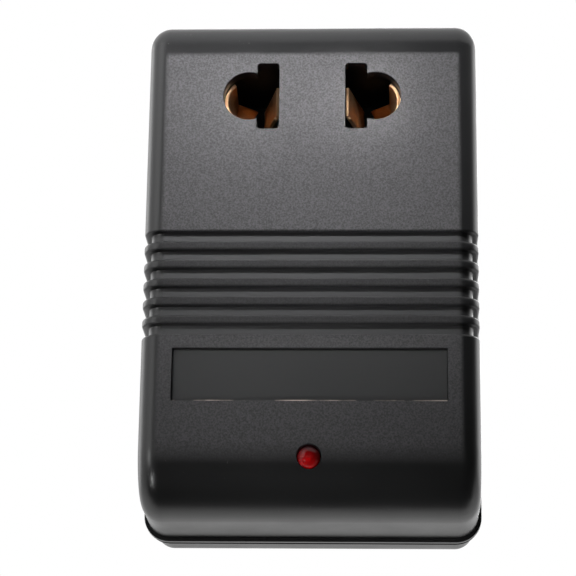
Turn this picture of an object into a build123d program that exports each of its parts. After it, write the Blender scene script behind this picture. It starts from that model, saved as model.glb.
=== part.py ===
from build123d import *
import math
import os

# Travel voltage converter that plugs straight into a wall outlet: a ribbed two-part plastic case with
# two combined output sockets in front, round mains pins behind and a small transformer inside.
# Millimetres. +Z runs up the long axis, the front face looks to -Y and the mains pins point to +Y.
# The origin lies midway between the mains pins, on the face that meets the outlet.

# Case
case_width = 50.6
case_height = 76.75
socket_to_top = 13.1
front_depth = 21.4
rear_depth = 18.4
wall = 2.2
side_radius = 3.2
top_radius = 4.3
bottom_radius = 9.5
rear_bottom_radius = 11.2
rear_inset = 0.35
rim_step = 0.6
rim_depth = 1.3
seam_gap = 0.5
rear_rim_inset = 0.15
rear_rim_depth = 1.0
tongue_depth = 2.0
tongue_inset = 1.1
tongue_clearance = 0.1

# Grip ribs, on the front and both sides
rib_count = 5
rib_height = 1.34
groove_height = 1.5
groove_depth = 1.0
ribs_above_bottom = 26.45
rib_edge_bevel = 0.25

# Bare label plate
label_side_inset = 4.8
label_height = 7.9
label_above_bottom = 20.35
label_recess = 0.9
label_thickness = 0.35
label_clearance = 0.1
label_corner = 0.15

# Indicator lamp and its board
lamp_above_bottom = 8.3
lamp_radius = 1.68
lamp_length = 5.2
lamp_flange_radius = 2.05
lamp_flange_depth = 0.9
lamp_stand_out = 0.9
lamp_hole_clearance = 0.06
board_width = 24.0
board_height = 5.6
board_thickness = 1.2
board_post_radius = 1.7
board_peg_radius = 0.8
board_peg_stand_out = 0.4
board_post_inset = 2.4
resistor_radius = 0.9
resistor_length = 4.2
diode_radius = 1.0
diode_length = 3.4
lamp_part_drop = 1.2
board_part_x = 4.6

# Output sockets: a round hole for a round pin, joined to a slot for a flat blade
pin_spacing = 19.0
socket_hole_radius = 3.8
slot_spacing = 13.2
slot_width = 3.3
slot_height = 10.5
slot_corner = 0.5
chamber_wall = 1.0
chamber_inner_x = 4.1
chamber_outer_x = 14.0
chamber_half_height = 6.0

# Sprung contacts
strip = 0.5
contact_height = 4.6
contact_front_gap = 0.3
outer_mouth_radius = 3.25
outer_mouth_angle = 52
outer_throat_radius = 8.0
outer_throat_offset = 2.4
outer_grip_radius = 4.0
outer_grip_offset = -0.1
outer_rear_offset = 2.7
throat_share = 0.38
grip_share = 0.56
inner_mouth_x = 5.2
inner_throat_x = 6.75
inner_grip_x = 7.5
inner_rear_x = 5.9
flap_drop = 2.0
flap_angle = 35
flap_short_share = 0.25
flap_length_share = 0.9
tag_height = 3.0
tag_length = 4.5
tag_offset = 2.1

# Retainer behind the contacts
retainer_thickness = 1.6
retainer_seam_gap = 0.3
retainer_margin = 0.6
retainer_corner = 1.0
retainer_screw_z = 4.6
retainer_boss_radius = 2.3

# Mains pins
pin_radius = 2.4
pin_length = 19.0
pin_tip_radius = 1.2
pin_root_radius = 0.3
pin_collar_radius = 2.9
pin_clearance = 0.05
pin_flange_radius = 4.0
pin_flange_depth = 1.2
pin_tail_radius = 1.5
pin_tail_length = 5.0
plinth_height = 1.2
plinth_margin = 3.6
clamp_thickness = 2.0
clamp_width = 30.0
clamp_height = 13.0
clamp_corner = 2.0
clamp_screw_z = 4.4
clamp_screw_length = 5.0
clamp_boss_radius = 2.0

# Transformer
limb_width = 13.0
window_width = 7.5
yoke_height = 6.5
core_side_gap = 2.0
core_below_socket = 18.3
core_pillar_gap = 0.75
bobbin_case_gap = 1.1
core_bolt_inset = 3.3
core_bolt_radius = 1.45
core_bolt_clearance = 0.15
core_post_radius = 2.9
core_bolt_length = 26.0
core_bolt_head_radius = 2.6
core_bolt_head_height = 1.8
bobbin_clearance = 0.2
bobbin_gap = 0.1
bobbin_wall = 0.9
bobbin_corner = 0.5
flange_corner = 1.0
flange_thickness = 1.0
winding_build = 5.2
inner_share = 0.5
tape_thickness = 0.3
flange_stand_out = 0.3
terminal_spacing = 7.0
terminal_radius = 0.5
terminal_rise = 4.0
terminal_reach = 3.5
fuse_radius = 1.6
fuse_length = 10.0
fuse_lead_radius = 0.4
fuse_lead_length = 4.0

# Screws
case_screw_inset_x = 5.2
case_screw_below_top = 6.6
case_screw_above_bottom = 6.4
case_screw_radius = 1.4
case_screw_length = 14.0
screw_tip_gap = 1.0
case_boss_radius = 2.7
case_pillar_radius = 3.6
case_head_radius = 2.6
head_height = 1.8
head_clearance = 0.3
pillar_floor = 2.6
small_screw_radius = 0.95
small_screw_length = 6.5
small_head_radius = 1.8
small_head_height = 1.2
recess_share = 0.6
recess_width_share = 0.35
head_edge_share = 0.35
screw_clearance = 0.05
hole_clearance = 0.2
boss_clearance = 0.3
cut_margin = 1.0
same_place = 0.01

# Hook-up wire
wire_radius = 0.75
wire_bend = 1.6
wire_end_gap = 0.3
wire_run_out = 3.0
wire_drift = 0.8
wire_rise = 2.0

# Places that follow from the sizes above
rear_y = -plinth_height
seam_y = rear_y - rear_depth
front_y = seam_y - front_depth
top_z = socket_to_top
bottom_z = top_z - case_height
shell_half_width = case_width / 2 - rim_step
shell_top = top_z - rim_step
shell_bottom = bottom_z + rim_step
inner_front_y = front_y + wall
inner_rear_y = rear_y - wall
contact_front_y = inner_front_y + contact_front_gap
retainer_rear_y = seam_y - retainer_seam_gap
contact_rear_y = retainer_rear_y - retainer_thickness
contact_length = contact_rear_y - contact_front_y
case_screw_x = shell_half_width - case_screw_inset_x
case_screw_zs = (shell_bottom + case_screw_above_bottom, shell_top - case_screw_below_top)
core_top = -core_below_socket
core_bottom = case_screw_zs[0] + case_pillar_radius + core_pillar_gap
core_width = 2 * (shell_half_width - wall - core_side_gap)
bobbin_reach = bobbin_clearance + bobbin_wall + winding_build + flange_stand_out
core_stack = inner_rear_y - inner_front_y - 2 * (bobbin_reach + bobbin_case_gap)
core_y = (inner_front_y + inner_rear_y) / 2
core_rear_y = core_y + core_stack / 2
core_front_y = core_y - core_stack / 2
core_bolt_x = core_width / 2 - core_bolt_inset
core_bolt_zs = (core_bottom + core_bolt_inset, core_top - core_bolt_inset)
label_width = 2 * (shell_half_width - label_side_inset)
label_z = bottom_z + label_above_bottom
lamp_z = bottom_z + lamp_above_bottom
board_front_y = front_y + lamp_length - lamp_stand_out
board_rear_y = board_front_y + board_thickness
pin_x = pin_spacing / 2
clamp_rear_y = inner_rear_y - pin_flange_depth
clamp_front_y = clamp_rear_y - clamp_thickness
window_low = core_bottom + yoke_height
window_high = core_top - yoke_height
flange_low = window_low + bobbin_gap
flange_high = window_high - bobbin_gap


def box_between(x, y, z):
    # A box from three (low, high) pairs
    size = [pair[1] - pair[0] for pair in (x, y, z)]
    centre = [(pair[0] + pair[1]) / 2 for pair in (x, y, z)]
    return Pos(*centre) * Box(*size)


def rod(radius, x, z, start_y, end_y):
    # A round bar along Y
    return Pos(x, (start_y + end_y) / 2, z) * Rot(90, 0, 0) * Cylinder(radius, abs(end_y - start_y))


def facing_back(x, y, z):
    # A plane to sketch on, seen from the back, with its first axis along X
    return Plane((x, y, z), x_dir=(1, 0, 0), z_dir=(0, 1, 0))


def front_outline(inset, start_y, end_y):
    # A prism along Y with the case's outline, drawn in by an inset
    height = shell_top - shell_bottom - 2 * inset
    face = RectangleRounded(2 * (shell_half_width - inset), height, side_radius - inset)
    plane = facing_back(0, start_y, (shell_top + shell_bottom) / 2)
    return extrude(plane * face, amount=end_y - start_y)


def case_block(inset, open_y, end_y, low_radius):
    # The case's form between its open edge and its rounded end, drawn in by an inset
    low = shell_bottom + inset
    high = shell_top - inset
    with BuildSketch(Plane.YZ) as side:
        with Locations(((open_y + end_y) / 2, (low + high) / 2)):
            Rectangle(abs(end_y - open_y), high - low)
        end_side = 0 if end_y < open_y else -1
        fillet(side.vertices().group_by(Axis.X)[end_side].sort_by(Axis.Y)[-1], top_radius - inset)
        fillet(side.vertices().group_by(Axis.X)[end_side].sort_by(Axis.Y)[0], low_radius - inset)
    block = extrude(side.sketch, amount=shell_half_width - inset, both=True)
    ends = block.faces().sort_by(Axis.X)
    open_plane = Plane((0, open_y, 0), z_dir=(0, 1, 0))
    edges = [edge for face in (ends[0], ends[-1]) for edge in face.edges()
             if not is_in_plane(edge, open_plane)]
    return fillet(edges, side_radius - inset)


def is_in_plane(edge, plane):
    # Whether both ends of an edge lie in a plane
    return all(abs(plane.to_local_coords(vertex.center()).Z) < same_place for vertex in edge.vertices())


def wire_run(points, bend=wire_bend, radius=wire_radius):
    # Insulated wire along straight runs joined by arcs
    path = FilletPolyline(*points, radius=bend)
    start = Plane(path @ 0, z_dir=path % 0)
    return sweep(start * Circle(radius), path=path)


def mirrored(solid):
    return mirror(solid, about=Plane.YZ)


def groove_lows():
    # Lower edge of each groove between and beside the ribs, from the lowest up
    pitch = rib_height + groove_height
    return [bottom_z + ribs_above_bottom + pitch * step for step in range(rib_count + 1)]


def cut_grooves(block):
    # The grooves beside and between the grip ribs go round the front and both sides, down to a core
    # with rounded corners of its own. The edges that a hand meets are softened.
    core = case_block(groove_depth, seam_y, front_y + groove_depth, bottom_radius)
    slabs = Part()
    for low in groove_lows():
        slabs += box_between((-case_width, case_width), (front_y - cut_margin, seam_y - rim_depth),
                             (low, low + groove_height))
    ribbed = block - (slabs - core)
    lips = [edge for edge in ribbed.edges() if is_rib_lip(edge)]
    return chamfer(lips, rib_edge_bevel)


def is_rib_lip(edge):
    # Whether an edge runs along a groove's upper or lower side on the outside of the case
    heights = [low + side for low in groove_lows() for side in (0, groove_height)]
    middle = edge @ 0.5
    ends = [vertex.center() for vertex in edge.vertices()]
    along_groove = any(all(abs(point.Z - height) < same_place for point in ends + [middle])
                       for height in heights)
    corner_x = shell_half_width - side_radius
    corner_y = front_y + side_radius
    if middle.Y < corner_y and abs(middle.X) > corner_x:
        outside = math.hypot(abs(middle.X) - corner_x, middle.Y - corner_y) > side_radius - groove_depth / 2
    else:
        outside = middle.Y < front_y + groove_depth / 2 or abs(middle.X) > shell_half_width - groove_depth / 2
    return along_groove and outside


def socket_cut(sign, start_y, end_y):
    # The round hole and the slot of one socket
    hole = rod(socket_hole_radius, sign * pin_spacing / 2, 0, start_y, end_y)
    plane = facing_back(sign * slot_spacing / 2, start_y, 0)
    slot = extrude(plane * RectangleRounded(slot_width, slot_height, slot_corner), amount=end_y - start_y)
    return hole + slot


def make_chamber(sign):
    # The walls round one contact, inside the front wall
    near = sign * chamber_inner_x
    far = sign * chamber_outer_x
    inner_x = (min(near, far), max(near, far))
    outer_x = (inner_x[0] - chamber_wall, inner_x[1] + chamber_wall)
    half = chamber_half_height
    depth = (inner_front_y - wall / 2, contact_rear_y)
    outside = box_between(outer_x, depth, (-half - chamber_wall, half + chamber_wall))
    return outside - box_between(inner_x, depth, (-half, half))


def board_post_xs():
    return [sign * (board_width / 2 - board_post_inset) for sign in (-1, 1)]


def make_front_housing():
    outside = case_block(0, seam_y, front_y, bottom_radius)
    rim = front_outline(-rim_step, seam_y - rim_depth, seam_y)
    hollow = case_block(wall, seam_y, inner_front_y, bottom_radius)
    rebate = front_outline(tongue_inset, seam_y - tongue_depth, seam_y)
    bosses = Part()
    for x in (-case_screw_x, case_screw_x):
        for z in case_screw_zs:
            bosses += rod(case_boss_radius, x, z, front_y, seam_y)
    for z in (-retainer_screw_z, retainer_screw_z):
        bosses += rod(retainer_boss_radius, 0, z, front_y + wall / 2, contact_rear_y)
    for x in board_post_xs():
        bosses += rod(board_post_radius, x, lamp_z, front_y, board_front_y)
        bosses += rod(board_peg_radius, x, lamp_z, front_y, board_rear_y + board_peg_stand_out)
    shell = cut_grooves(outside) + rim - hollow - rebate
    shell += bosses & case_block(wall / 2, seam_y, front_y + wall / 2, bottom_radius)
    shell += make_chamber(-1) + make_chamber(1)
    label_plane = facing_back(0, front_y - cut_margin, label_z)
    shell -= extrude(label_plane * RectangleRounded(label_width, label_height, label_corner),
                     amount=cut_margin + label_recess)
    for sign in (-1, 1):
        shell -= socket_cut(sign, front_y - cut_margin, inner_front_y)
    lamp_hole = lamp_radius + lamp_hole_clearance
    shell -= rod(lamp_hole, 0, lamp_z, front_y - cut_margin, board_front_y)
    for x in (-case_screw_x, case_screw_x):
        for z in case_screw_zs:
            shell -= rod(case_screw_radius + screw_clearance, x, z, seam_y - case_screw_length, seam_y)
    for z in (-retainer_screw_z, retainer_screw_z):
        shell -= rod(small_screw_radius + screw_clearance, 0, z,
                     contact_rear_y - small_screw_length, contact_rear_y)
    return shell


def make_rear_cover():
    outside = case_block(rear_inset, seam_y + seam_gap, rear_y, rear_bottom_radius)
    hollow = case_block(wall, seam_y + seam_gap, inner_rear_y, rear_bottom_radius)
    tongue_end = seam_y - tongue_depth + tongue_clearance
    tongue = front_outline(tongue_inset + tongue_clearance, tongue_end, seam_y + seam_gap)
    tongue -= front_outline(wall, tongue_end, seam_y + seam_gap)
    rim_front = seam_y + seam_gap
    rim = front_outline(rear_rim_inset - rim_step, rim_front, rim_front + rear_rim_depth)
    inside = Part()
    for x in (-case_screw_x, case_screw_x):
        for z in case_screw_zs:
            inside += rod(case_pillar_radius, x, z, seam_y + seam_gap, rear_y)
    for x in (-core_bolt_x, core_bolt_x):
        for z in core_bolt_zs:
            inside += rod(core_post_radius, x, z, core_rear_y, rear_y)
    for z in (-clamp_screw_z, clamp_screw_z):
        inside += rod(clamp_boss_radius, 0, z, clamp_rear_y, rear_y)
    shell = outside + rim - hollow + tongue
    shell += inside & outside
    for x in (-case_screw_x, case_screw_x):
        for z in case_screw_zs:
            shell += rod(case_boss_radius, x, z, seam_y, seam_y + pillar_floor)
    plinth_outline = SlotCenterToCenter(pin_spacing, 2 * (pin_radius + plinth_margin))
    shell += extrude(facing_back(0, inner_rear_y, 0) * plinth_outline, amount=-inner_rear_y)
    for x in (-pin_x, pin_x):
        shell -= rod(pin_collar_radius + pin_clearance, x, 0, inner_rear_y - cut_margin, cut_margin)
    for x in (-case_screw_x, case_screw_x):
        for z in case_screw_zs:
            shell -= rod(case_screw_radius + hole_clearance, x, z, seam_y - cut_margin, 0)
            shell -= rod(case_head_radius + head_clearance, x, z, seam_y + pillar_floor, 0)
    for x in (-core_bolt_x, core_bolt_x):
        for z in core_bolt_zs:
            shell -= rod(core_bolt_radius + screw_clearance, x, z, core_rear_y - cut_margin,
                         core_front_y + core_bolt_length + hole_clearance)
    for z in (-clamp_screw_z, clamp_screw_z):
        shell -= rod(small_screw_radius + screw_clearance, 0, z, clamp_rear_y - cut_margin,
                     clamp_front_y + clamp_screw_length + hole_clearance)
    return shell


def make_screw(radius, length, head_radius, height, x, z, seat_y, sign):
    # A screw along Y with a cross recess; sign is +1 where its point looks to +Y
    head_y = seat_y - sign * height
    shank = rod(radius, x, z, seat_y, seat_y + sign * length)
    head = rod(head_radius, x, z, head_y, seat_y)
    head = chamfer(head.edges().group_by(Axis.Y)[0 if sign > 0 else -1], height * head_edge_share)
    depth = tuple(sorted((head_y, head_y + sign * height * recess_share)))
    long_side = head_radius * recess_share
    short_side = head_radius * recess_width_share / 2
    recess = box_between((x - long_side, x + long_side), depth, (z - short_side, z + short_side))
    recess += box_between((x - short_side, x + short_side), depth, (z - long_side, z + long_side))
    return shank + head - recess


def make_case_screws():
    seat_y = seam_y + pillar_floor
    return [make_screw(case_screw_radius, case_screw_length - screw_tip_gap, case_head_radius, head_height,
                       x, z, seat_y, -1)
            for x in (-case_screw_x, case_screw_x) for z in case_screw_zs]


def make_core_screws():
    return [make_screw(core_bolt_radius, core_bolt_length, core_bolt_head_radius, core_bolt_head_height,
                       x, z, core_front_y, 1)
            for x in (-core_bolt_x, core_bolt_x) for z in core_bolt_zs]


def make_retainer_screws():
    return [make_screw(small_screw_radius, small_screw_length, small_head_radius, small_head_height,
                       0, z, retainer_rear_y, -1)
            for z in (-retainer_screw_z, retainer_screw_z)]


def make_clamp_screws():
    return [make_screw(small_screw_radius, clamp_screw_length, small_head_radius, small_head_height,
                       0, z, clamp_front_y, 1)
            for z in (-clamp_screw_z, clamp_screw_z)]


def make_label_plate():
    width = label_width - 2 * label_clearance
    height = label_height - 2 * label_clearance
    plane = facing_back(0, front_y + label_recess - label_thickness, label_z)
    return extrude(plane * RectangleRounded(width, height, label_corner), amount=label_thickness)


def make_lamp():
    tip_y = board_front_y - lamp_length
    dome_y = tip_y + lamp_radius
    body = rod(lamp_radius, 0, lamp_z, dome_y, board_front_y) + Pos(0, dome_y, lamp_z) * Sphere(lamp_radius)
    return body + rod(lamp_flange_radius, 0, lamp_z, board_front_y - lamp_flange_depth, board_front_y)


def make_board():
    half = board_width / 2
    board = box_between((-half, half), (board_front_y, board_rear_y),
                        (lamp_z - board_height / 2, lamp_z + board_height / 2))
    for x in board_post_xs():
        board -= rod(board_peg_radius + hole_clearance / 2, x, lamp_z, board_front_y, board_rear_y)
    return board


def make_board_part(radius, length, x):
    # A small part lying along X on the back of the board
    place = Pos(x, board_rear_y + radius, lamp_z - lamp_part_drop) * Rot(0, 90, 0)
    barrel = Cylinder(radius, length)
    return place * chamfer(barrel.edges(), radius * head_edge_share)


def leaf_section(y, middle_x, radius, half_height):
    # Cross-section of the curved leaf: a thin arc, hollow towards the pin
    angle = math.asin(half_height / radius)
    centre_x = middle_x - radius
    inner = [(centre_x + radius * math.cos(turn), radius * math.sin(turn)) for turn in (-angle, 0, angle)]
    outside = radius + strip
    outer = [(centre_x + outside * math.cos(turn), outside * math.sin(turn)) for turn in (-angle, 0, angle)]
    outline = [ThreePointArc(*inner), Line(inner[2], outer[2]), ThreePointArc(*outer), Line(outer[0], inner[0])]
    return facing_back(0, y, 0) * make_face(outline)


def make_contact():
    # The right-hand contact: a curved leaf outside the round pin and a flat sprung leaf inside it. They
    # leave the opening free as far as the throat and close on the pin behind it, at the grip.
    throat_y = contact_front_y + throat_share * contact_length
    grip_y = contact_front_y + grip_share * contact_length
    mouth_half = outer_mouth_radius * math.sin(math.radians(outer_mouth_angle))
    mouth = leaf_section(contact_front_y, pin_x + outer_mouth_radius, outer_mouth_radius, mouth_half)
    throat = leaf_section(throat_y, pin_x + outer_throat_offset, outer_throat_radius, contact_height / 2)
    grip = leaf_section(grip_y, pin_x + outer_grip_offset, outer_grip_radius, contact_height / 2)
    rear = leaf_section(contact_rear_y, pin_x + outer_rear_offset, outer_throat_radius, contact_height / 2)
    sections = [mouth, throat, grip, rear]
    outer_leaf = Part()
    for front, behind in zip(sections, sections[1:]):
        outer_leaf += loft([front, behind], ruled=True)
    web_y = contact_rear_y - strip / 2
    web_end_x = pin_x + outer_rear_offset
    path = Polyline((inner_mouth_x, contact_front_y), (inner_throat_x, throat_y), (inner_grip_x, grip_y),
                    (inner_rear_x, web_y), (web_end_x, web_y))
    ribbon = trace(path, strip)
    inner_leaf = extrude(Pos(0, 0, -contact_height / 2) * ribbon, amount=contact_height)
    along = (Vector(inner_throat_x, throat_y, 0) - Vector(inner_mouth_x, contact_front_y, 0)).normalized()
    across = Vector(along.Y, -along.X, 0)
    tilt = math.radians(flap_angle)
    down = Vector(0, 0, -1) * math.cos(tilt) + across * math.sin(tilt)
    hinge = Vector((inner_mouth_x + inner_throat_x) / 2, (contact_front_y + throat_y) / 2, -contact_height / 2)
    flap_plane = Plane(hinge, x_dir=along, z_dir=along.cross(down))
    half = (throat_y - contact_front_y) / 2 * flap_length_share
    flap_face = make_face(Polyline((-half, -strip / 2), (half, -strip / 2), (half, flap_drop),
                                   (-half, flap_drop * flap_short_share), close=True))
    flap = extrude(flap_plane * flap_face, amount=strip / 2, both=True)
    tag_x = pin_x + tag_offset
    tag = box_between((tag_x - strip / 2, tag_x + strip / 2), (contact_rear_y - strip, contact_rear_y + tag_length),
                      (-tag_height / 2, tag_height / 2))
    return outer_leaf + inner_leaf + flap + tag


def make_retainer():
    half_x = chamber_outer_x + chamber_wall + retainer_margin
    half_z = chamber_half_height + chamber_wall + retainer_margin
    plate = box_between((-half_x, half_x), (contact_rear_y, retainer_rear_y), (-half_z, half_z))
    plate = fillet(plate.edges().filter_by(Axis.Y), retainer_corner)
    half_slot = strip / 2 + hole_clearance
    for tag_x in (-pin_x - tag_offset, pin_x + tag_offset):
        plate -= box_between((tag_x - half_slot, tag_x + half_slot), (contact_rear_y, retainer_rear_y),
                             (-tag_height / 2 - hole_clearance, tag_height / 2 + hole_clearance))
    for z in (-retainer_screw_z, retainer_screw_z):
        plate -= rod(small_screw_radius + hole_clearance, 0, z, contact_rear_y, retainer_rear_y)
    for x in (-case_screw_x, case_screw_x):
        plate -= rod(case_pillar_radius + boss_clearance, x, case_screw_zs[1], contact_rear_y, retainer_rear_y)
    return plate


def make_pin(sign):
    # A turned pin: solder tail, flange, collar in the plinth, shank with a root fillet, round tip
    x = sign * pin_x
    shank = rod(pin_radius, x, 0, inner_rear_y, pin_length)
    shank = fillet(shank.edges().group_by(Axis.Y)[-1], pin_tip_radius)
    pin = shank + rod(pin_collar_radius, x, 0, inner_rear_y, 0)
    root = [edge for edge in pin.edges().filter_by(GeomType.CIRCLE)
            if abs(edge.center().Y) < same_place and abs(edge.radius - pin_radius) < same_place]
    pin = fillet(root, pin_root_radius)
    pin += rod(pin_flange_radius, x, 0, clamp_rear_y, inner_rear_y)
    return pin + rod(pin_tail_radius, x, 0, clamp_rear_y - pin_tail_length, clamp_rear_y)


def make_clamp():
    outline = RectangleRounded(clamp_width, clamp_height, clamp_corner)
    plate = extrude(facing_back(0, clamp_front_y, 0) * outline, amount=clamp_thickness)
    for x in (-pin_x, pin_x):
        plate -= rod(pin_tail_radius + hole_clearance, x, 0, clamp_front_y, clamp_rear_y)
    for z in (-clamp_screw_z, clamp_screw_z):
        plate -= rod(small_screw_radius + hole_clearance, 0, z, clamp_front_y, clamp_rear_y)
    for x in (-case_screw_x, case_screw_x):
        plate -= rod(case_pillar_radius + boss_clearance, x, case_screw_zs[1], clamp_front_y, clamp_rear_y)
    return plate


def make_core_e_stack():
    half = core_width / 2
    depth = (core_front_y, core_rear_y)
    outer_limb = (core_width - limb_width) / 2 - window_width
    stack = box_between((-half, half), depth, (core_bottom, window_high))
    for sign in (-1, 1):
        near = sign * limb_width / 2
        far = sign * (half - outer_limb)
        stack -= box_between((min(near, far), max(near, far)), depth, (window_low, window_high))
    return cut_bolt_holes(stack)


def make_core_i_bar():
    half = core_width / 2
    return cut_bolt_holes(box_between((-half, half), (core_front_y, core_rear_y), (window_high, core_top)))


def cut_bolt_holes(stack):
    for x in (-core_bolt_x, core_bolt_x):
        for z in core_bolt_zs:
            stack -= rod(core_bolt_radius + core_bolt_clearance, x, z, core_front_y, core_rear_y)
    return stack


def winding_ring(inner_build, outer_build, low, high):
    # A rounded ring round the bobbin's tube, between two builds above it
    tube_x = limb_width + 2 * (bobbin_clearance + bobbin_wall)
    tube_y = core_stack + 2 * (bobbin_clearance + bobbin_wall)
    plane = Plane((0, core_y, low))
    outside = RectangleRounded(tube_x + 2 * outer_build, tube_y + 2 * outer_build, bobbin_corner + outer_build)
    inside = RectangleRounded(tube_x + 2 * inner_build, tube_y + 2 * inner_build, bobbin_corner + inner_build)
    return extrude(plane * (outside - inside), amount=high - low)


def make_bobbin():
    tube_x = limb_width + 2 * (bobbin_clearance + bobbin_wall)
    tube_y = core_stack + 2 * (bobbin_clearance + bobbin_wall)
    low_plane = Plane((0, core_y, flange_low))
    height = flange_high - flange_low
    bobbin = extrude(low_plane * RectangleRounded(tube_x, tube_y, bobbin_corner), amount=height)
    flange_outline = RectangleRounded(limb_width + 2 * bobbin_reach, core_stack + 2 * bobbin_reach, flange_corner)
    flange = extrude(low_plane * flange_outline, amount=flange_thickness)
    bobbin += flange + Pos(0, 0, height - flange_thickness) * flange
    limb = Rectangle(limb_width + 2 * bobbin_clearance, core_stack + 2 * bobbin_clearance)
    return bobbin - extrude(low_plane * limb, amount=height)


def make_windings():
    low = flange_low + flange_thickness + bobbin_gap
    high = flange_high - flange_thickness - bobbin_gap
    copper = winding_build - tape_thickness
    middle = copper * inner_share
    inner = winding_ring(screw_clearance, middle, low, high)
    outer = winding_ring(middle, copper, low, high)
    tape = winding_ring(copper, winding_build, low, high)
    return inner, outer, tape


def rear_terminal_xs():
    return [terminal_spacing * step for step in (-1.5, -0.5, 0.5, 1.5)]


def make_terminals():
    pins = [Pos(x, core_rear_y + terminal_reach, flange_high + terminal_rise / 2)
            * Cylinder(terminal_radius, terminal_rise) for x in rear_terminal_xs()]
    pins += [Pos(sign * terminal_spacing, core_front_y - terminal_reach, flange_high + terminal_rise / 2)
             * Cylinder(terminal_radius, terminal_rise) for sign in (-1, 1)]
    return pins


def make_fuse():
    # The thermal fuse lies along X on the core's top
    place = Pos(0, core_y, core_top + fuse_radius) * Rot(0, 90, 0)
    body = Cylinder(fuse_radius, fuse_length)
    body = chamfer(body.edges(), fuse_radius * head_edge_share)
    return place * (body + Cylinder(fuse_lead_radius, fuse_length + 2 * fuse_lead_length))


def make_wires():
    # Routes of the insulated wires, each from one solder joint to the next
    terminal_z = flange_high + terminal_rise + wire_end_gap
    rear_line = core_rear_y + terminal_reach
    front_line = core_front_y - terminal_reach
    terminal_xs = rear_terminal_xs()
    tail_y = clamp_rear_y - pin_tail_length - wire_end_gap
    tag_x = pin_x + tag_offset
    tag_y = contact_rear_y + tag_length + wire_end_gap
    fuse_x = fuse_length / 2 + fuse_lead_length + wire_end_gap
    fuse_z = core_top + fuse_radius
    chamber_low = -chamber_half_height - chamber_wall
    free_z = (chamber_low + core_top) / 2
    under_chamber_z = chamber_low - 2 * wire_radius
    wires = {}
    wires["input_wire_left"] = wire_run([
        (-pin_x, tail_y, 0), (-pin_x + wire_drift, tail_y - wire_run_out, -wire_drift),
        (-fuse_x - wire_run_out, core_y + wire_run_out, free_z),
        (-fuse_x - wire_run_out, core_y, fuse_z), (-fuse_x, core_y, fuse_z)])
    wires["fuse_wire"] = wire_run([
        (fuse_x, core_y, fuse_z), (fuse_x + wire_run_out, core_y, fuse_z),
        (terminal_xs[3] + wire_drift, rear_line, free_z), (terminal_xs[3], rear_line, terminal_z)])
    wires["input_wire_right"] = wire_run([
        (pin_x, tail_y, 0), (pin_x - wire_drift, tail_y - wire_run_out, -wire_drift),
        (terminal_xs[2] + wire_drift, rear_line, free_z), (terminal_xs[2], rear_line, terminal_z)])
    wires["output_wire_left"] = wire_run([
        (-tag_x, tag_y, 0), (-tag_x - wire_drift, tag_y + wire_run_out, -wire_drift),
        (terminal_xs[0] - wire_drift, rear_line, free_z), (terminal_xs[0], rear_line, terminal_z)])
    wires["output_wire_right"] = wire_run([
        (tag_x, tag_y, 0), (tag_x - wire_drift, tag_y + wire_run_out, -wire_drift),
        (wire_run_out, tag_y + wire_run_out, under_chamber_z),
        (terminal_xs[1] + wire_drift, rear_line, free_z), (terminal_xs[1], rear_line, terminal_z)])
    pad_x = board_width / 2 - board_post_inset - board_post_radius
    side_x = limb_width / 2 + bobbin_reach + 4 * wire_radius
    for side, sign in (("left", -1), ("right", 1)):
        wires["led_wire_" + side] = wire_run([
            (sign * pad_x, board_rear_y + wire_end_gap, lamp_z),
            (sign * (pad_x + wire_drift), board_rear_y + wire_run_out, lamp_z + wire_drift),
            (sign * side_x, front_line, core_bottom + 2 * wire_run_out),
            (sign * (side_x - wire_drift), front_line, core_top - wire_run_out),
            (sign * (terminal_spacing + wire_drift), front_line, core_top + wire_rise),
            (sign * terminal_spacing, front_line, terminal_z)])
    return wires


os.makedirs("parts", exist_ok=True)


def save(name, solids):
    # One file for each node; loose pieces of one node stay separate solids
    shape = Compound(children=list(solids)) if isinstance(solids, (list, tuple)) else solids
    export_step(shape, "parts/" + name + ".step")


save("front_housing", make_front_housing())
save("rear_cover", make_rear_cover())
save("label_plate", make_label_plate())
save("led_lamp", make_lamp())
save("indicator_board", make_board())
save("led_resistor", make_board_part(resistor_radius, resistor_length, -board_part_x))
save("led_diode", make_board_part(diode_radius, diode_length, board_part_x))
right_contact = make_contact()
save("contact_right", right_contact)
save("contact_left", mirrored(right_contact))
save("contact_retainer", make_retainer())
save("retainer_screws", make_retainer_screws())
save("input_pin_left", make_pin(-1))
save("input_pin_right", make_pin(1))
save("pin_clamp", make_clamp())
save("pin_clamp_screws", make_clamp_screws())
save("core_e_stack", make_core_e_stack())
save("core_i_bar", make_core_i_bar())
save("core_screws", make_core_screws())
save("bobbin", make_bobbin())
inner_winding, outer_winding, winding_tape = make_windings()
save("inner_winding", inner_winding)
save("outer_winding", outer_winding)
save("winding_tape", winding_tape)
save("bobbin_terminals", make_terminals())
save("thermal_fuse", make_fuse())
for wire_name, wire_solid in make_wires().items():
    save(wire_name, wire_solid)
save("case_screws", make_case_screws())
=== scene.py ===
import math

import bpy
from mathutils import Matrix, Vector


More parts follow.
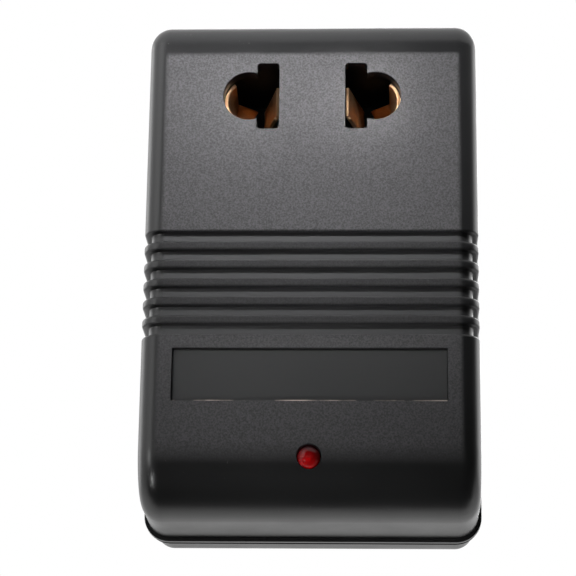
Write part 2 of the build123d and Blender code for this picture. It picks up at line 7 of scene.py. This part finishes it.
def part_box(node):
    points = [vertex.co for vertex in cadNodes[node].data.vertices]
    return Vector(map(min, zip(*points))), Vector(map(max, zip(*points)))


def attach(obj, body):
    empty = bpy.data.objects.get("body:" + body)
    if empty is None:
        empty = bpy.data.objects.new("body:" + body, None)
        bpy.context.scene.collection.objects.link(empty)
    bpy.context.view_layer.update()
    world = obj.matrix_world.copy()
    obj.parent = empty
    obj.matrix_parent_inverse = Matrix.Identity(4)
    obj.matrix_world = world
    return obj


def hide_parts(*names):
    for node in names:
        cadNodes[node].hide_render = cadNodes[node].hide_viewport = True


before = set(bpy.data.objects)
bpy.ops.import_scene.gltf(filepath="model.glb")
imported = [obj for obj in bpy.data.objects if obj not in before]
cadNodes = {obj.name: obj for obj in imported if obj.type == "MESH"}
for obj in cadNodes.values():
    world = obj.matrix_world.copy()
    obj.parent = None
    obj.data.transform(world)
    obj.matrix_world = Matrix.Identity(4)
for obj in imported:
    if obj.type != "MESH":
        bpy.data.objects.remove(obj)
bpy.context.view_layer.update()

# Travel voltage converter: the finish of every surface, studio light and the camera.
# Metres, in the model's frame: +Z up the long axis, the sockets look to -Y, the pins to +Y.

mm = 0.001
bodyName = "root"
frontLow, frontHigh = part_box("front_housing")
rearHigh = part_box("rear_cover")[1]
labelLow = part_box("label_plate")[0]
lensLow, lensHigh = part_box("led_lamp")
lensMiddle = (lensLow.z + lensHigh.z) / 2
print("frame loaded:", len(cadNodes), "nodes")


# Small helpers for materials, also used for the world

def newMaterial(name):
    material = bpy.data.materials.new(name)
    material.use_nodes = True
    return material, material.node_tree.nodes["Principled BSDF"]


def addNode(material, kind, **settings):
    node = material.node_tree.nodes.new(kind)
    for key, value in settings.items():
        setattr(node, key, value)
    return node


def link(material, fromSocket, toSocket):
    material.node_tree.links.new(fromSocket, toSocket)


def setSockets(shader, **values):
    for key, value in values.items():
        shader.inputs[key.replace("_", " ")].default_value = value


def objectCoords(material, scale=(1, 1, 1)):
    coords = addNode(material, "ShaderNodeTexCoord")
    mapping = addNode(material, "ShaderNodeMapping")
    mapping.inputs["Scale"].default_value = scale
    link(material, coords.outputs["Object"], mapping.inputs["Vector"])
    return mapping.outputs["Vector"]


def splitAxes(material, vector):
    axes = addNode(material, "ShaderNodeSeparateXYZ")
    link(material, vector, axes.inputs["Vector"])
    return axes.outputs["X"], axes.outputs["Y"], axes.outputs["Z"]


def noise(material, vector, size, detail=2.0, roughness=0.5):
    # Noise whose grains are about size across
    node = addNode(material, "ShaderNodeTexNoise")
    node.inputs["Scale"].default_value = 1 / size
    node.inputs["Detail"].default_value = detail
    node.inputs["Roughness"].default_value = roughness
    link(material, vector, node.inputs["Vector"])
    return node.outputs["Fac"]


def mapRange(material, value, fromLow, fromHigh, toLow, toHigh):
    node = addNode(material, "ShaderNodeMapRange")
    ends = {"From Min": fromLow, "From Max": fromHigh, "To Min": toLow, "To Max": toHigh}
    for key, number in ends.items():
        node.inputs[key].default_value = number
    link(material, value, node.inputs["Value"])
    return node.outputs["Result"]


def combine(material, operation, first, second):
    # A math node on two sockets or numbers
    node = addNode(material, "ShaderNodeMath", operation=operation)
    for socket, value in zip(node.inputs, (first, second)):
        if isinstance(value, (int, float)):
            socket.default_value = value
        else:
            link(material, value, socket)
    return node.outputs["Value"]


def multiply(material, first, *others):
    for other in others:
        first = combine(material, "MULTIPLY", first, other)
    return first


def band(material, value, low, high, softness, lowSoftness=None):
    # 1 between low and high, fading to 0 over the softness on each side
    under = lowSoftness or softness
    rising = mapRange(material, value, low - under, low + under, 0, 1)
    falling = mapRange(material, value, high - softness, high + softness, 1, 0)
    return multiply(material, rising, falling)


def mixColours(material, factor, first, second):
    node = addNode(material, "ShaderNodeMix", data_type="RGBA")
    link(material, factor, node.inputs["Factor"])
    for socket, colour in ((node.inputs["A"], first), (node.inputs["B"], second)):
        if isinstance(colour, tuple):
            socket.default_value = (*colour, 1)
        else:
            link(material, colour, socket)
    return node.outputs["Result"]


def bump(material, shader, height, depth, strength):
    node = addNode(material, "ShaderNodeBump")
    node.inputs["Distance"].default_value = depth
    if isinstance(strength, float):
        node.inputs["Strength"].default_value = strength
    else:
        link(material, strength, node.inputs["Strength"])
    link(material, height, node.inputs["Height"])
    link(material, node.outputs["Normal"], shader.inputs["Normal"])


# Black case plastic: spark-eroded on the flat panels, smoother on the rolls and in the grooves,
# with painted light on the groove floors and painted shade in the seam

housing = {
    "smooth": (0.0115, 0.0116, 0.012),
    "grooveFloorPaintedLight": (0.062, 0.062, 0.064),
    "erodedDark": (0.036, 0.0355, 0.037),
    "erodedPale": (0.078, 0.0765, 0.080),
    "mottle": (0.36, 0.64),              # grain heights where dark turns to pale
    "dust": (0.11, 0.105, 0.1),
    "dustSize": 0.42 * mm,
    "dustPeaks": (0.84, 0.9),
    "dustShare": 0.35,
    "grain": 0.26 * mm,
    "grainDepth": 0.045 * mm,
    "grainDetail": 3.0,
    "grainMix": 0.62,
    "fineGrain": 0.09 * mm,
    "fineShare": 0.35,
    "rollBump": 0.18,
    "panelBump": 0.85,
    "panelRoughness": 0.72,
    "rollRoughness": 0.31,
    "grooveRoughness": 0.5,
    "patch": 7 * mm,                     # size of the duller and shinier patches
    "patchHeights": (0.3, 0.7),
    "patchSpread": 0.03,
    "specular": 0.5,
    "ior": 1.5,
    "frontFade": (0.3 * mm, 0.9 * mm),   # from the front face
    "backFade": (-2.4 * mm, -1.5 * mm),  # from the rear face
    "panelHalfWidth": 21.9 * mm,
    "panelTop": 6.8 * mm,
    "panelBottom": -54.8 * mm,
    "ribsLow": -37.2 * mm,
    "ribsHigh": -21.5 * mm,
    "ribShine": 0.62,
    "grooveDepth": 1.0 * mm,
    "grooveReach": 0.2 * mm,
    "grooveSoftness": 0.05 * mm,
    "edgeSoftness": 0.35 * mm,
    "bottomSoftness": 1.6 * mm,
    # painted shade for the seam between the shells
    "paintedSeamShade": (0.001, 0.001, 0.001),
    "seamFront": -0.45 * mm,
    "seamBack": 1.15 * mm,
    "seamSoftness": 0.03 * mm,
}


def makeHousingPlastic():
    material, shader = newMaterial("housingPlastic")
    place = objectCoords(material)
    x, y, z = splitAxes(material, place)
    soft = housing["edgeSoftness"]
    halfWidth = housing["panelHalfWidth"]
    frontStart, frontEnd = (frontLow.y + depth for depth in housing["frontFade"])
    backStart, backEnd = (rearHigh.y + depth for depth in housing["backFade"])

    # 1 on the spark-eroded panels, less on the ribs, 0 on the rolls
    onFront = mapRange(material, y, frontStart, frontEnd, 1, 0)
    acrossFront = band(material, x, -halfWidth, halfWidth, soft)
    whole = band(material, z, housing["panelBottom"], housing["panelTop"], soft,
                 housing["bottomSoftness"])
    ribs = band(material, z, housing["ribsLow"], housing["ribsHigh"], soft)
    panels = combine(material, "SUBTRACT", whole, multiply(material, ribs, housing["ribShine"]))
    front = multiply(material, onFront, acrossFront, panels)
    onBack = mapRange(material, y, backStart, backEnd, 0, 1)
    eroded = combine(material, "MAXIMUM", front, onBack)

    floorY = frontLow.y + housing["grooveDepth"]
    reach = housing["grooveReach"]
    atFloor = band(material, y, floorY - reach, floorY + reach, housing["grooveSoftness"])
    inGroove = multiply(material, atFloor, ribs, acrossFront)

    grain = noise(material, place, housing["grain"], housing["grainDetail"], housing["grainMix"])
    fine = noise(material, place, housing["fineGrain"], detail=1.0)
    height = combine(material, "ADD", grain, multiply(material, fine, housing["fineShare"]))
    strength = mapRange(material, eroded, 0, 1, housing["rollBump"], housing["panelBump"])
    bump(material, shader, height, housing["grainDepth"], strength)

    patches = noise(material, place, housing["patch"], detail=3.0)
    spread = housing["patchSpread"]
    uneven = mapRange(material, patches, *housing["patchHeights"], -spread, spread)
    base = mapRange(material, eroded, 0, 1, housing["rollRoughness"], housing["panelRoughness"])
    worn = combine(material, "ADD", base, uneven)
    duller = housing["grooveRoughness"] - housing["rollRoughness"]
    roughness = combine(material, "ADD", worn, multiply(material, inGroove, duller))
    link(material, roughness, shader.inputs["Roughness"])

    pale = mapRange(material, grain, *housing["mottle"], 0, 1)
    mottle = mixColours(material, pale, housing["erodedDark"], housing["erodedPale"])
    # Painted light: the groove floors get a lighter grey than the same smooth plastic elsewhere,
    # standing in for the light they catch
    smooth = mixColours(material, inGroove, housing["smooth"], housing["grooveFloorPaintedLight"])
    plain = mixColours(material, eroded, smooth, mottle)
    dustNoise = noise(material, place, housing["dustSize"], detail=0.0)
    specks = mapRange(material, dustNoise, *housing["dustPeaks"], 0, housing["dustShare"])
    colour = mixColours(material, specks, plain, housing["dust"])

    # Painted shade: a near-black band without specular across the seam and the rear rim's leading
    # edge, standing in for the shade between the shells
    seamShadeMask = band(material, y, frontHigh.y + housing["seamFront"],
                  frontHigh.y + housing["seamBack"], housing["seamSoftness"])
    colour = mixColours(material, seamShadeMask, colour, housing["paintedSeamShade"])
    link(material, colour, shader.inputs["Base Color"])
    specular = mapRange(material, seamShadeMask, 0, 1, housing["specular"], 0)
    link(material, specular, shader.inputs["Specular IOR Level"])
    setSockets(shader, IOR=housing["ior"])
    return material


# Smooth black plate with a broken bright line along its lower edge: partly rubbed-through metal,
# partly a painted highlight of the light that edge catches

label = {
    "base": (0.041, 0.0415, 0.042),
    "rubbedEdgeAndHighlight": (0.72, 0.60, 0.52),
    "edge": (0.08 * mm, 0.2 * mm),       # the painted highlight line fades between these heights
    "wear": 5 * mm,
    "wearStretch": (1, 1, 0.2),
    "wearHeights": (0.44, 0.62),
    "patch": 11 * mm,
    "patchHeights": (0.3, 0.7),
    "roughness": (0.44, 0.5),
    "grain": 0.12 * mm,
    "grainDepth": 0.004 * mm,
    "grainBump": 0.4,
}


def makeSatinLabel():
    material, shader = newMaterial("satinLabel")
    place = objectCoords(material)
    z = splitAxes(material, place)[2]
    edgeStart, edgeEnd = (labelLow.z + height for height in label["edge"])
    nearEdge = mapRange(material, z, edgeStart, edgeEnd, 1, 0)
    wear = noise(material, objectCoords(material, label["wearStretch"]), label["wear"], detail=4.0)
    broken = mapRange(material, wear, *label["wearHeights"], 0, 1)
    # Painted highlight along the lower edge, broken up by noise as rubbed-through metal
    rubbedEdgeAndHighlight = multiply(material, nearEdge, broken)
    colour = mixColours(material, rubbedEdgeAndHighlight, label["base"], label["rubbedEdgeAndHighlight"])
    link(material, colour, shader.inputs["Base Color"])
    patches = noise(material, place, label["patch"])
    roughness = mapRange(material, patches, *label["patchHeights"], *label["roughness"])
    link(material, roughness, shader.inputs["Roughness"])
    grain = noise(material, place, label["grain"], detail=1.0)
    bump(material, shader, grain, label["grainDepth"], label["grainBump"])
    return material


# Tinted lens with painted light: a painted red glow in its lower half stands in for light from
# above gathering there, and a painted dark crown for its shade

lens = {
    "paintedCrownShade": (0.035, 0.001, 0.002),
    "paintedGlowRed": (0.66, 0.003, 0.004),
    "glowHeights": (1.1 * mm, -0.9 * mm),     # from crown to belly, about the lens's middle
    "side": (-1.4 * mm, 0.1 * mm),       # painted shade, darker towards the left
    "sideShare": 0.35,
    "patch": 1.4 * mm,
    "patchHeights": (0.35, 0.65),
    "patchShare": 0.85,
    "roughness": 0.04,
    "specular": 0.3,
    "ior": 1.45,
}


def makeLampLens():
    material, shader = newMaterial("lampLens")
    place = objectCoords(material)
    x, _, z = splitAxes(material, place)
    gatherStart, gatherEnd = (lensMiddle + height for height in lens["glowHeights"])
    depth = mapRange(material, z, gatherStart, gatherEnd, 0, 1)
    side = mapRange(material, x, *lens["side"], lens["sideShare"], 1)
    patches = noise(material, place, lens["patch"])
    uneven = mapRange(material, patches, *lens["patchHeights"], lens["patchShare"], 1)
    # Painted glow and shade: brighter red towards the bottom and the right, standing in for light
    # passing through the lens
    glow = multiply(material, depth, side, uneven)
    colour = mixColours(material, glow, lens["paintedCrownShade"], lens["paintedGlowRed"])
    link(material, colour, shader.inputs["Base Color"])
    setSockets(shader, Roughness=lens["roughness"], IOR=lens["ior"],
               Specular_IOR_Level=lens["specular"])
    return material


# Bare metal with fine streaks along one axis and a few dull patches

metals = {
    "contact": {"name": "contactBronze", "bright": (0.90, 0.58, 0.34), "dull": (0.80, 0.48, 0.25),
                "roughness": 0.42, "streak": (1, 0.08, 1), "streakSize": 0.15 * mm},
    "pin": {"name": "pinNickel", "bright": (0.70, 0.67, 0.62), "dull": (0.62, 0.59, 0.53),
            "roughness": 0.24, "streak": (1, 0.2, 1), "streakSize": 0.3 * mm},
    "screw": {"name": "screwZinc", "bright": (0.62, 0.62, 0.60), "dull": (0.4, 0.39, 0.36),
              "roughness": 0.34, "streak": (1, 1, 1), "streakSize": 0.25 * mm},
}
metalWear = {
    "patch": 2.2 * mm,
    "patchHeights": (0.5, 0.72),
    "streakHeights": (0.3, 0.7),
    "smoother": 0.05,
    "rougher": 0.07,
    "bumpDepth": 0.0008 * mm,
    "bumpStrength": 0.08,
}


def makeMetal(name, bright, dull, roughness, streak, streakSize):
    material, shader = newMaterial(name)
    lines = noise(material, objectCoords(material, streak), streakSize, detail=3.0)
    patches = noise(material, objectCoords(material), metalWear["patch"], detail=3.0)
    dulled = mapRange(material, patches, *metalWear["patchHeights"], 0, 1)
    link(material, mixColours(material, dulled, bright, dull), shader.inputs["Base Color"])
    worn = mapRange(material, lines, *metalWear["streakHeights"],
                    roughness - metalWear["smoother"], roughness + metalWear["rougher"])
    link(material, worn, shader.inputs["Roughness"])
    setSockets(shader, Metallic=1)
    bump(material, shader, lines, metalWear["bumpDepth"], metalWear["bumpStrength"])
    return material


# Plain moulded plastic or lacquer with slight clouds and grain

plastics = {
    "nylon": {"name": "naturalNylon", "first": (0.72, 0.70, 0.64), "second": (0.66, 0.63, 0.56),
              "roughness": 0.42},
    "blackNylon": {"name": "blackNylon", "first": (0.012, 0.012, 0.0125),
                   "second": (0.018, 0.018, 0.0185), "roughness": 0.45},
    "tape": {"name": "polyesterTape", "first": (0.78, 0.55, 0.08), "second": (0.72, 0.48, 0.05),
             "roughness": 0.24, "grain": 0.8 * mm, "depth": 0.02 * mm},
    "board": {"name": "paperLaminate", "first": (0.42, 0.26, 0.10), "second": (0.36, 0.21, 0.08),
              "roughness": 0.5, "grain": 0.3 * mm},
    "lacquer": {"name": "smallPartLacquer", "first": (0.55, 0.43, 0.27),
                "second": (0.5, 0.38, 0.22), "roughness": 0.35},
    "wireRed": {"name": "redVinyl", "first": (0.45, 0.02, 0.02), "second": (0.38, 0.015, 0.015),
                "roughness": 0.36},
    "wireBlack": {"name": "blackVinyl", "first": (0.02, 0.02, 0.021), "second": (0.03, 0.03, 0.03),
                  "roughness": 0.36},
}
plasticClouds = {"size": 3 * mm, "heights": (0.35, 0.65), "rougher": 0.06, "bumpStrength": 0.5}


def makePlastic(name, first, second, roughness, grain=0.2 * mm, depth=0.005 * mm):
    material, shader = newMaterial(name)
    place = objectCoords(material)
    cloudNoise = noise(material, place, plasticClouds["size"], detail=3.0)
    clouds = mapRange(material, cloudNoise, *plasticClouds["heights"], 0, 1)
    link(material, mixColours(material, clouds, first, second), shader.inputs["Base Color"])
    dull = mapRange(material, clouds, 0, 1, roughness, roughness + plasticClouds["rougher"])
    link(material, dull, shader.inputs["Roughness"])
    height = noise(material, place, grain, detail=1.0)
    bump(material, shader, height, depth, plasticClouds["bumpStrength"])
    return material


# Stripes square to one axis: stacked sheets or turns of wire

stripes = {
    "core": {"name": "coreLaminations", "axis": "Y", "pitch": 0.5 * mm, "dark": (0.10, 0.10, 0.105),
             "pale": (0.22, 0.21, 0.2), "metallic": 0.8, "roughness": 0.42, "depth": 0.03 * mm},
    "winding": {"name": "enamelledWire", "axis": "Z", "pitch": 0.3 * mm, "dark": (0.28, 0.07, 0.02),
                "pale": (0.60, 0.22, 0.08), "metallic": 0.6, "roughness": 0.3, "depth": 0.1 * mm},
}
stripeWear = {
    "period": math.tau / 20,             # a wave texture's period at scale 1
    "distortion": 0.4,
    "distortionSize": 8 * mm,
    "spots": 3 * mm,
    "spotHeights": (0.3, 0.7),
    "smoother": 0.04,
    "rougher": 0.08,
    "bumpStrength": 0.8,
}


def makeStriped(name, axis, pitch, dark, pale, metallic, roughness, depth):
    material, shader = newMaterial(name)
    wave = addNode(material, "ShaderNodeTexWave", wave_type="BANDS", bands_direction=axis,
                   wave_profile="SIN")
    wave.inputs["Scale"].default_value = stripeWear["period"] / pitch
    wave.inputs["Distortion"].default_value = stripeWear["distortion"]
    wave.inputs["Detail Scale"].default_value = 1 / stripeWear["distortionSize"]
    link(material, objectCoords(material), wave.inputs["Vector"])
    stripe = wave.outputs["Fac"]
    link(material, mixColours(material, stripe, dark, pale), shader.inputs["Base Color"])
    spots = noise(material, objectCoords(material), stripeWear["spots"])
    worn = mapRange(material, spots, *stripeWear["spotHeights"],
                    roughness - stripeWear["smoother"], roughness + stripeWear["rougher"])
    link(material, worn, shader.inputs["Roughness"])
    setSockets(shader, Metallic=metallic)
    bump(material, shader, stripe, depth, stripeWear["bumpStrength"])
    return material


materials = {
    "housing": makeHousingPlastic(),
    "label": makeSatinLabel(),
    "lamp": makeLampLens(),
}
for makeFinish, looks in ((makeMetal, metals), (makePlastic, plastics), (makeStriped, stripes)):
    for key, look in looks.items():
        materials[key] = makeFinish(**look)
print("materials made:", len(materials))

nodeMaterials = {
    "front_housing": "housing", "rear_cover": "housing", "label_plate": "label",
    "led_lamp": "lamp", "indicator_board": "board", "led_resistor": "lacquer",
    "led_diode": "wireBlack", "contact_left": "contact", "contact_right": "contact",
    "contact_retainer": "blackNylon", "retainer_screws": "screw", "input_pin_left": "pin",
    "input_pin_right": "pin", "pin_clamp": "nylon", "pin_clamp_screws": "screw",
    "core_e_stack": "core", "core_i_bar": "core", "core_screws": "screw", "bobbin": "nylon",
    "inner_winding": "winding", "outer_winding": "winding", "winding_tape": "tape",
    "bobbin_terminals": "pin", "thermal_fuse": "lacquer", "fuse_wire": "wireRed",
    "input_wire_left": "wireRed", "input_wire_right": "wireBlack",
    "output_wire_left": "wireRed", "output_wire_right": "wireBlack",
    "led_wire_left": "wireRed", "led_wire_right": "wireBlack", "case_screws": "screw",
}


def setMaterial(piece, material):
    piece.data.materials.clear()
    piece.data.materials.append(material)


for nodeName, materialName in nodeMaterials.items():
    setMaterial(cadNodes[nodeName], materials[materialName])
print("nodes dressed:", len(nodeMaterials))


# Pieces that show: merged copies whose sharp edges get the soft radius of the real moulding

softCopies = {
    "front_housing": {"piece": "frontShell", "radius": 0.12 * mm, "slot": "housing_plastic"},
    "rear_cover": {"piece": "rearShell", "radius": 0.12 * mm, "slot": "housing_plastic"},
    "label_plate": {"piece": "labelPlate", "radius": 0.06 * mm, "slot": "label_plastic"},
    "contact_left": {"piece": "leftContact", "radius": 0.06 * mm, "slot": "contact_copper"},
    "contact_right": {"piece": "rightContact", "radius": 0.06 * mm, "slot": "contact_copper"},
}
shading = {
    "merge": 0.002 * mm,
    "flat": math.radians(0.4),
    "sharp": math.radians(32),
    "segments": 2,
}


def softCopy(nodeName, look):
    bpy.ops.object.select_all(action="DESELECT")
    piece = bpy.data.objects.new(look["piece"], cadNodes[nodeName].data.copy())
    bpy.context.scene.collection.objects.link(piece)
    bpy.context.view_layer.objects.active = piece
    piece.select_set(True)
    bpy.ops.object.mode_set(mode="EDIT")
    bpy.ops.mesh.select_all(action="SELECT")
    bpy.ops.mesh.customdata_custom_splitnormals_clear()
    bpy.ops.mesh.remove_doubles(threshold=shading["merge"])
    bpy.ops.mesh.dissolve_limited(angle_limit=shading["flat"])
    bpy.ops.object.mode_set(mode="OBJECT")
    edges = piece.modifiers.new("softEdges", "BEVEL")
    edges.width = look["radius"]
    edges.segments = shading["segments"]
    edges.limit_method = "ANGLE"
    edges.angle_limit = shading["sharp"]
    edges.use_clamp_overlap = False
    edges.harden_normals = False
    bpy.ops.object.modifier_apply(modifier=edges.name)
    bpy.ops.object.shade_smooth_by_angle(angle=shading["sharp"])
    weights = piece.modifiers.new("evenShade", "WEIGHTED_NORMAL")
    weights.keep_sharp = True
    bpy.ops.object.modifier_apply(modifier=weights.name)
    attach(piece, bodyName)
    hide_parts(nodeName)
    print(look["piece"], len(piece.data.polygons), "faces")


for nodeName, look in softCopies.items():
    softCopy(nodeName, look)


# Stage: pale floor well below the object, softboxes around it, black cards in front that
# darken what the rolls mirror, and weak small lamps for the sockets, the lens and the lower left

floorLook = {
    "height": -0.36,
    "size": 6.0,
    "colour": (0.78, 0.78, 0.77),
    "roughness": 0.8,
    "mirroredGlow": 0.6,
    "seenGlow": 0.62,
}
worldLook = {"fill": 0.07, "background": 1.0}
cardLook = {"colour": (0.08, 0.08, 0.08), "roughness": 0.9}
cards = {
    "lowCard": {"from": (0.05, -0.50, -0.87), "away": 0.22, "size": (0.8, 0.46)},
    "frontCard": {"from": (0.12, -0.93, 0.34), "away": 0.6, "size": (1.15, 0.55)},
    "rightCard": {"from": (0.88, -0.46, -0.05), "away": 0.55, "size": (0.72, 0.75)},
}
cardTarget = Vector((0, (frontLow.y + rearHigh.y) / 2, (frontLow.z + frontHigh.z) / 2))

# Each lamp looks at a point counted from the front face, from a direction and a distance.
# Mirrored lamps show as highlights, the others only light the surface.
allRound = math.radians(180)
socketSize, socketPower, socketSpread = (0.012, 0.012), 0.00025, math.radians(8)
lamps = {
    "upperSoftbox": {"at": (-7 * mm, 0, 10 * mm), "from": (-0.30, -0.86, 0.41), "away": 0.20,
                     "size": (0.04, 0.02), "power": 0.043, "spread": math.radians(29),
                     "mirrored": False},
    "leftSoftbox": {"at": (0, 0, 0), "from": (-0.75, -0.55, 0.42), "away": 0.45,
                    "size": (0.25, 0.25), "power": 0.16, "spread": allRound, "mirrored": True},
    "lowerLeftLamp": {"at": (-18 * mm, 0, -45 * mm), "from": (-0.50, -0.80, 0.15), "away": 0.10,
                      "size": (0.02, 0.02), "power": 0.00055, "spread": math.radians(22),
                      "mirrored": False},
    "flatLeafLamp": {"at": (6 * mm, 0, -1 * mm), "from": (0.42, -0.85, 0.30), "away": 0.10,
                     "size": socketSize, "power": socketPower, "spread": socketSpread,
                     "mirrored": True},
    "leftSocketLamp": {"at": (-9 * mm, 0, -1 * mm), "from": (0.30, -0.88, 0.36), "away": 0.10,
                       "size": socketSize, "power": socketPower, "spread": socketSpread,
                       "mirrored": True},
    "rightSocketLamp": {"at": (9 * mm, 0, -1 * mm), "from": (-0.30, -0.88, 0.36), "away": 0.10,
                        "size": socketSize, "power": socketPower, "spread": socketSpread,
                        "mirrored": True},
    "backSoftbox": {"at": (0, 0, -25 * mm), "from": (0.15, 0.85, 0.40), "away": 0.6,
                    "size": (0.5, 0.4), "power": 2.2, "spread": allRound, "mirrored": True},
    "rightSoftbox": {"at": (0, 20 * mm, -25 * mm), "from": (0.86, 0.52, 0.24), "away": 0.6,
                     "size": (0.3, 0.4), "power": 0.6, "spread": allRound, "mirrored": True},
    "leftRearSoftbox": {"at": (0, 20 * mm, -25 * mm), "from": (-0.86, 0.52, 0.24), "away": 0.6,
                        "size": (0.3, 0.4), "power": 0.6, "spread": allRound, "mirrored": True},
    "lensLamp": {"at": (0, 0, lensMiddle), "from": (-0.585, -0.436, -0.66), "away": 0.20,
                 "size": (0.02, 0.05), "power": 0.0017, "spread": math.radians(13),
                 "mirrored": True},
    "leftStrip": {"at": (0, 0, -25 * mm), "from": (-0.80, -0.57, -0.18), "away": 0.7,
                  "size": (0.04, 0.30), "power": 0.6, "spread": allRound, "mirrored": True},
}


def aimAt(piece, fromDirection, away, point):
    direction = Vector(fromDirection).normalized()
    piece.location = point + direction * away
    piece.rotation_mode = "QUATERNION"
    piece.rotation_quaternion = direction.to_track_quat("Z", "Y")


def makeFloor():
    bpy.ops.object.select_all(action="DESELECT")
    bpy.ops.mesh.primitive_plane_add(size=floorLook["size"], location=(0, 0, floorLook["height"]))
    floor = bpy.context.object
    floor.name = "floor"
    material, shader = newMaterial("paleFloor")
    setSockets(shader, Base_Color=(*floorLook["colour"], 1), Roughness=floorLook["roughness"],
               Emission_Color=(1, 1, 1, 1))
    rays = addNode(material, "ShaderNodeLightPath")
    mirrored = mapRange(material, rays.outputs["Is Glossy Ray"], 0, 1, 0, floorLook["mirroredGlow"])
    seen = mapRange(material, rays.outputs["Is Camera Ray"], 0, 1, 0, floorLook["seenGlow"])
    glow = combine(material, "ADD", mirrored, seen)
    link(material, glow, shader.inputs["Emission Strength"])
    setMaterial(floor, material)


def makeLamps():
    for name, look in lamps.items():
        data = bpy.data.lights.new(name, "AREA")
        data.shape = "RECTANGLE"
        data.size, data.size_y = look["size"]
        data.energy = look["power"]
        data.spread = look["spread"]
        lamp = bpy.data.objects.new(name, data)
        bpy.context.scene.collection.objects.link(lamp)
        lamp.visible_glossy = look["mirrored"]
        aimAt(lamp, look["from"], look["away"], Vector((0, frontLow.y, 0)) + Vector(look["at"]))


def makeCards():
    material, shader = newMaterial("blackCard")
    setSockets(shader, Base_Color=(*cardLook["colour"], 1), Roughness=cardLook["roughness"])
    for name, look in cards.items():
        bpy.ops.object.select_all(action="DESELECT")
        bpy.ops.mesh.primitive_plane_add(size=1)
        card = bpy.context.object
        card.name = name
        card.scale = (*look["size"], 1)
        aimAt(card, look["from"], look["away"], cardTarget)
        card.visible_camera = False
        card.visible_shadow = False
        setMaterial(card, material)


def makeWorld():
    # Weak light from all sides, and white where the camera or a mirror looks past the floor
    world = bpy.data.worlds.new("studio")
    world.use_nodes = True
    bpy.context.scene.world = world
    rays = addNode(world, "ShaderNodeLightPath")
    seen = rays.outputs["Is Camera Ray"]
    for name in ("Is Glossy Ray", "Is Transmission Ray"):
        seen = combine(world, "MAXIMUM", seen, rays.outputs[name])
    level = mapRange(world, seen, 0, 1, worldLook["fill"], worldLook["background"])
    background = world.node_tree.nodes["Background"]
    background.inputs["Color"].default_value = (1, 1, 1, 1)
    link(world, level, background.inputs["Strength"])


makeFloor()
makeLamps()
makeCards()
makeWorld()
print("stage made:", len(lamps), "lamps,", len(cards), "cards")


# Camera: seen from a little below and from the right, with its angles in radians

cameraView = {
    "lens": 139.5,
    "sensor": 36.0,
    "distance": 0.3248,
    "side": 0.0446,
    "below": math.radians(18),
    "roll": 0.0132,
    "target": Vector((-3.236 * mm, frontLow.y, -30.30 * mm)),
}


def makeCamera():
    side, below, roll = cameraView["side"], cameraView["below"], cameraView["roll"]
    forward = Vector((-math.sin(side) * math.cos(below), math.cos(side) * math.cos(below),
                      math.sin(below)))
    flatRight = Vector((math.cos(side), math.sin(side), 0))
    flatUp = flatRight.cross(forward)
    right = flatRight * math.cos(roll) + flatUp * math.sin(roll)
    up = flatUp * math.cos(roll) - flatRight * math.sin(roll)
    turn = Matrix((right, up, -forward)).transposed().to_4x4()
    data = bpy.data.cameras.new("camera")
    data.lens = cameraView["lens"]
    data.sensor_width = cameraView["sensor"]
    camera = bpy.data.objects.new("camera", data)
    bpy.context.scene.collection.objects.link(camera)
    place = cameraView["target"] - forward * cameraView["distance"]
    camera.matrix_world = Matrix.Translation(place) @ turn
    bpy.context.scene.camera = camera


makeCamera()
bpy.context.scene.view_settings.view_transform = "Standard"
print("camera set")
